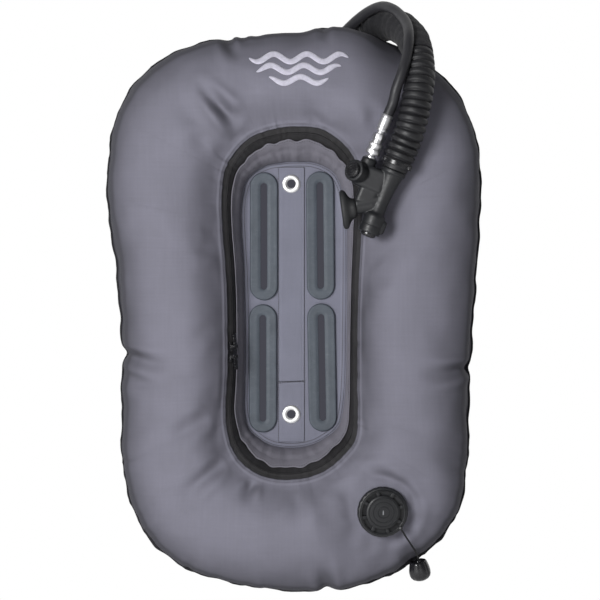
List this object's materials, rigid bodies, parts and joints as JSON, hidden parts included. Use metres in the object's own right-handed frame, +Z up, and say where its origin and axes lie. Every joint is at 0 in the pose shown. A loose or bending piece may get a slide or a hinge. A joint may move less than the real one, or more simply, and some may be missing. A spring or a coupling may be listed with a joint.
{
  "type": "buoyancy compensator wing",
  "caption": "Ring-shaped inflatable dive wing in a zipped fabric shell, with a slotted centre panel, corrugated hose, power inflator and pull dump valve.",
  "frame": {"origin": "on the face of the strip sewn down the back of the centre panel, midway between the two bolt eyelets", "axes": "-Y is the front, the side that faces the diver; +Y is the tank side; +X is to the right seen from the front; +Z is up"},
  "size_m": [0.4506, 0.2151, 0.7145],
  "materials": {
    "shell_fabric": "light grey coated nylon weave",
    "gusset_fabric": "dark grey nylon weave",
    "panel_fabric": "light grey coated nylon weave",
    "binding_tape": "black woven tape",
    "zip_tape": "black woven tape",
    "zip_plastic": "black",
    "bladder_film": "smooth urethane film",
    "stiffener_sheet": "smooth sheet",
    "pad_rubber": "satin moulded rubber",
    "eyelet_steel": "bright stainless steel",
    "black_plastic": "satin moulded",
    "hose_rubber": "satin",
    "seal_rubber": "matt",
    "spring_steel": "drawn wire",
    "clamp_steel": "bright stainless steel",
    "fitting_chrome": "polished plate",
    "cord_fabric": "black braided cord"
  },
  "bodies": {
    "wing": {"shell_front": "shell_fabric", "shell_back": "shell_fabric", "inner_gusset": "gusset_fabric", "center_panel_front": "panel_fabric", "center_panel_back": "panel_fabric", "center_strip": "panel_fabric", "center_strip_tail": "panel_fabric", "center_strip_back": "panel_fabric", "edge_binding": "binding_tape", "zip_tape_outer": "zip_tape", "zip_tape_inner": "zip_tape", "zip_coil_outer": "zip_plastic", "zip_coil_inner": "zip_plastic", "bladder": "bladder_film", "center_stiffener": "stiffener_sheet", "slot_pad_front_upper_left": "pad_rubber", "slot_pad_front_upper_right": "pad_rubber", "slot_pad_front_lower_left": "pad_rubber", "slot_pad_front_lower_right": "pad_rubber", "slot_pad_back_upper_left": "pad_rubber", "slot_pad_back_upper_right": "pad_rubber", "slot_pad_back_lower_left": "pad_rubber", "slot_pad_back_lower_right": "pad_rubber", "eyelet_upper": "eyelet_steel", "eyelet_lower": "eyelet_steel", "eyelet_washer_upper": "eyelet_steel", "eyelet_washer_lower": "eyelet_steel", "dump_base": "black_plastic", "dump_housing": "black_plastic", "dump_cap": "black_plastic", "port_base": "black_plastic", "elbow_nut": "black_plastic", "dump_gasket": "seal_rubber", "port_gasket": "seal_rubber", "dump_spring": "spring_steel"},
    "elbow": {"elbow": "black_plastic", "elbow_clamp": "clamp_steel", "corrugated_hose": "hose_rubber", "lp_hose": "hose_rubber", "lp_end_ferrule": "fitting_chrome", "lp_end_fitting": "fitting_chrome"},
    "inflator": {"inflator_body": "black_plastic", "inflator_clamp": "black_plastic", "mouthpiece": "hose_rubber", "qd_nipple": "fitting_chrome", "qd_coupler": "fitting_chrome", "lp_ferrule": "fitting_chrome", "inflate_spring": "spring_steel", "deflate_spring": "spring_steel"},
    "inflate_button": {"inflate_button": "black_plastic"},
    "deflate_button": {"deflate_button": "black_plastic"},
    "qd_sleeve": {"qd_sleeve": "fitting_chrome"},
    "dump_poppet": {"dump_poppet": "black_plastic", "dump_seal": "seal_rubber"},
    "dump_knob": {"dump_knob": "black_plastic", "dump_cord": "cord_fabric"},
    "zip_slider_upper": {"zip_slider_upper": "zip_plastic"},
    "zip_slider_lower": {"zip_slider_lower": "zip_plastic"},
    "zip_pull_upper": {"zip_pull_upper": "zip_plastic"},
    "zip_pull_lower": {"zip_pull_lower": "zip_plastic"}
  },
  "joints": [
    {"name": "elbow_swivel", "type": "hinge", "parent": "wing", "child": "elbow", "pos_m": [0.04564, 0.05486, 0.26472], "axis": [-0.0423, -0.9808, -0.1905], "range_deg": [0, 12]},
    {"name": "hose_lift", "type": "hinge", "parent": "elbow", "child": "inflator", "pos_m": [0.15, -0.037, 0.3], "axis": [-1, 0, 0], "range_deg": [0, 70], "deforming": ["corrugated_hose", "lp_hose"]},
    {"name": "inflate_press", "type": "slide", "parent": "inflator", "child": "inflate_button", "axis": [0.5551, 0.8, -0.2277], "range_m": [0, 0.003], "stiffness_N_per_m": 800, "deforming": ["inflate_spring"]},
    {"name": "deflate_press", "type": "slide", "parent": "inflator", "child": "deflate_button", "axis": [0.3795, 0, 0.9252], "range_m": [0, 0.0035], "stiffness_N_per_m": 800, "deforming": ["deflate_spring"]},
    {"name": "qd_sleeve_slide", "type": "slide", "parent": "inflator", "child": "qd_sleeve", "axis": [0.3795, 0, 0.9252], "range_m": [0, 0.0035], "stiffness_N_per_m": 800},
    {"name": "dump_pull", "type": "slide", "parent": "wing", "child": "dump_knob", "axis": [0.0152, 0.152, -0.9883], "range_m": [0, 0.012], "deforming": ["dump_cord"]},
    {"name": "dump_lift", "type": "slide", "parent": "wing", "child": "dump_poppet", "axis": [0.11, -0.9861, -0.1246], "range_m": [0, 0.004], "deforming": ["dump_spring"]},
    {"name": "zip_upper_slide", "type": "slide", "parent": "wing", "child": "zip_slider_upper", "axis": [-0.0094, 0.0013, 1], "range_m": [0, 0.04]},
    {"name": "zip_lower_slide", "type": "slide", "parent": "wing", "child": "zip_slider_lower", "axis": [-0.0263, -0.021, -0.9994], "range_m": [0, 0.03]},
    {"name": "zip_upper_pull_flip", "type": "hinge", "parent": "zip_slider_upper", "child": "zip_pull_upper", "pos_m": [-0.06761, -0.04362, -0.05728], "axis": [0.6865, 0.7271, -0.0085], "range_deg": [0, 150]},
    {"name": "zip_lower_pull_flip", "type": "hinge", "parent": "zip_slider_lower", "child": "zip_pull_lower", "pos_m": [-0.06779, -0.04378, -0.06965], "axis": [-0.695, -0.7187, 0.021], "range_deg": [0, 150]}
  ],
  "couplings": [
    {"joint": "dump_lift", "follows": "dump_pull", "ratio": 0.333}
  ]
}
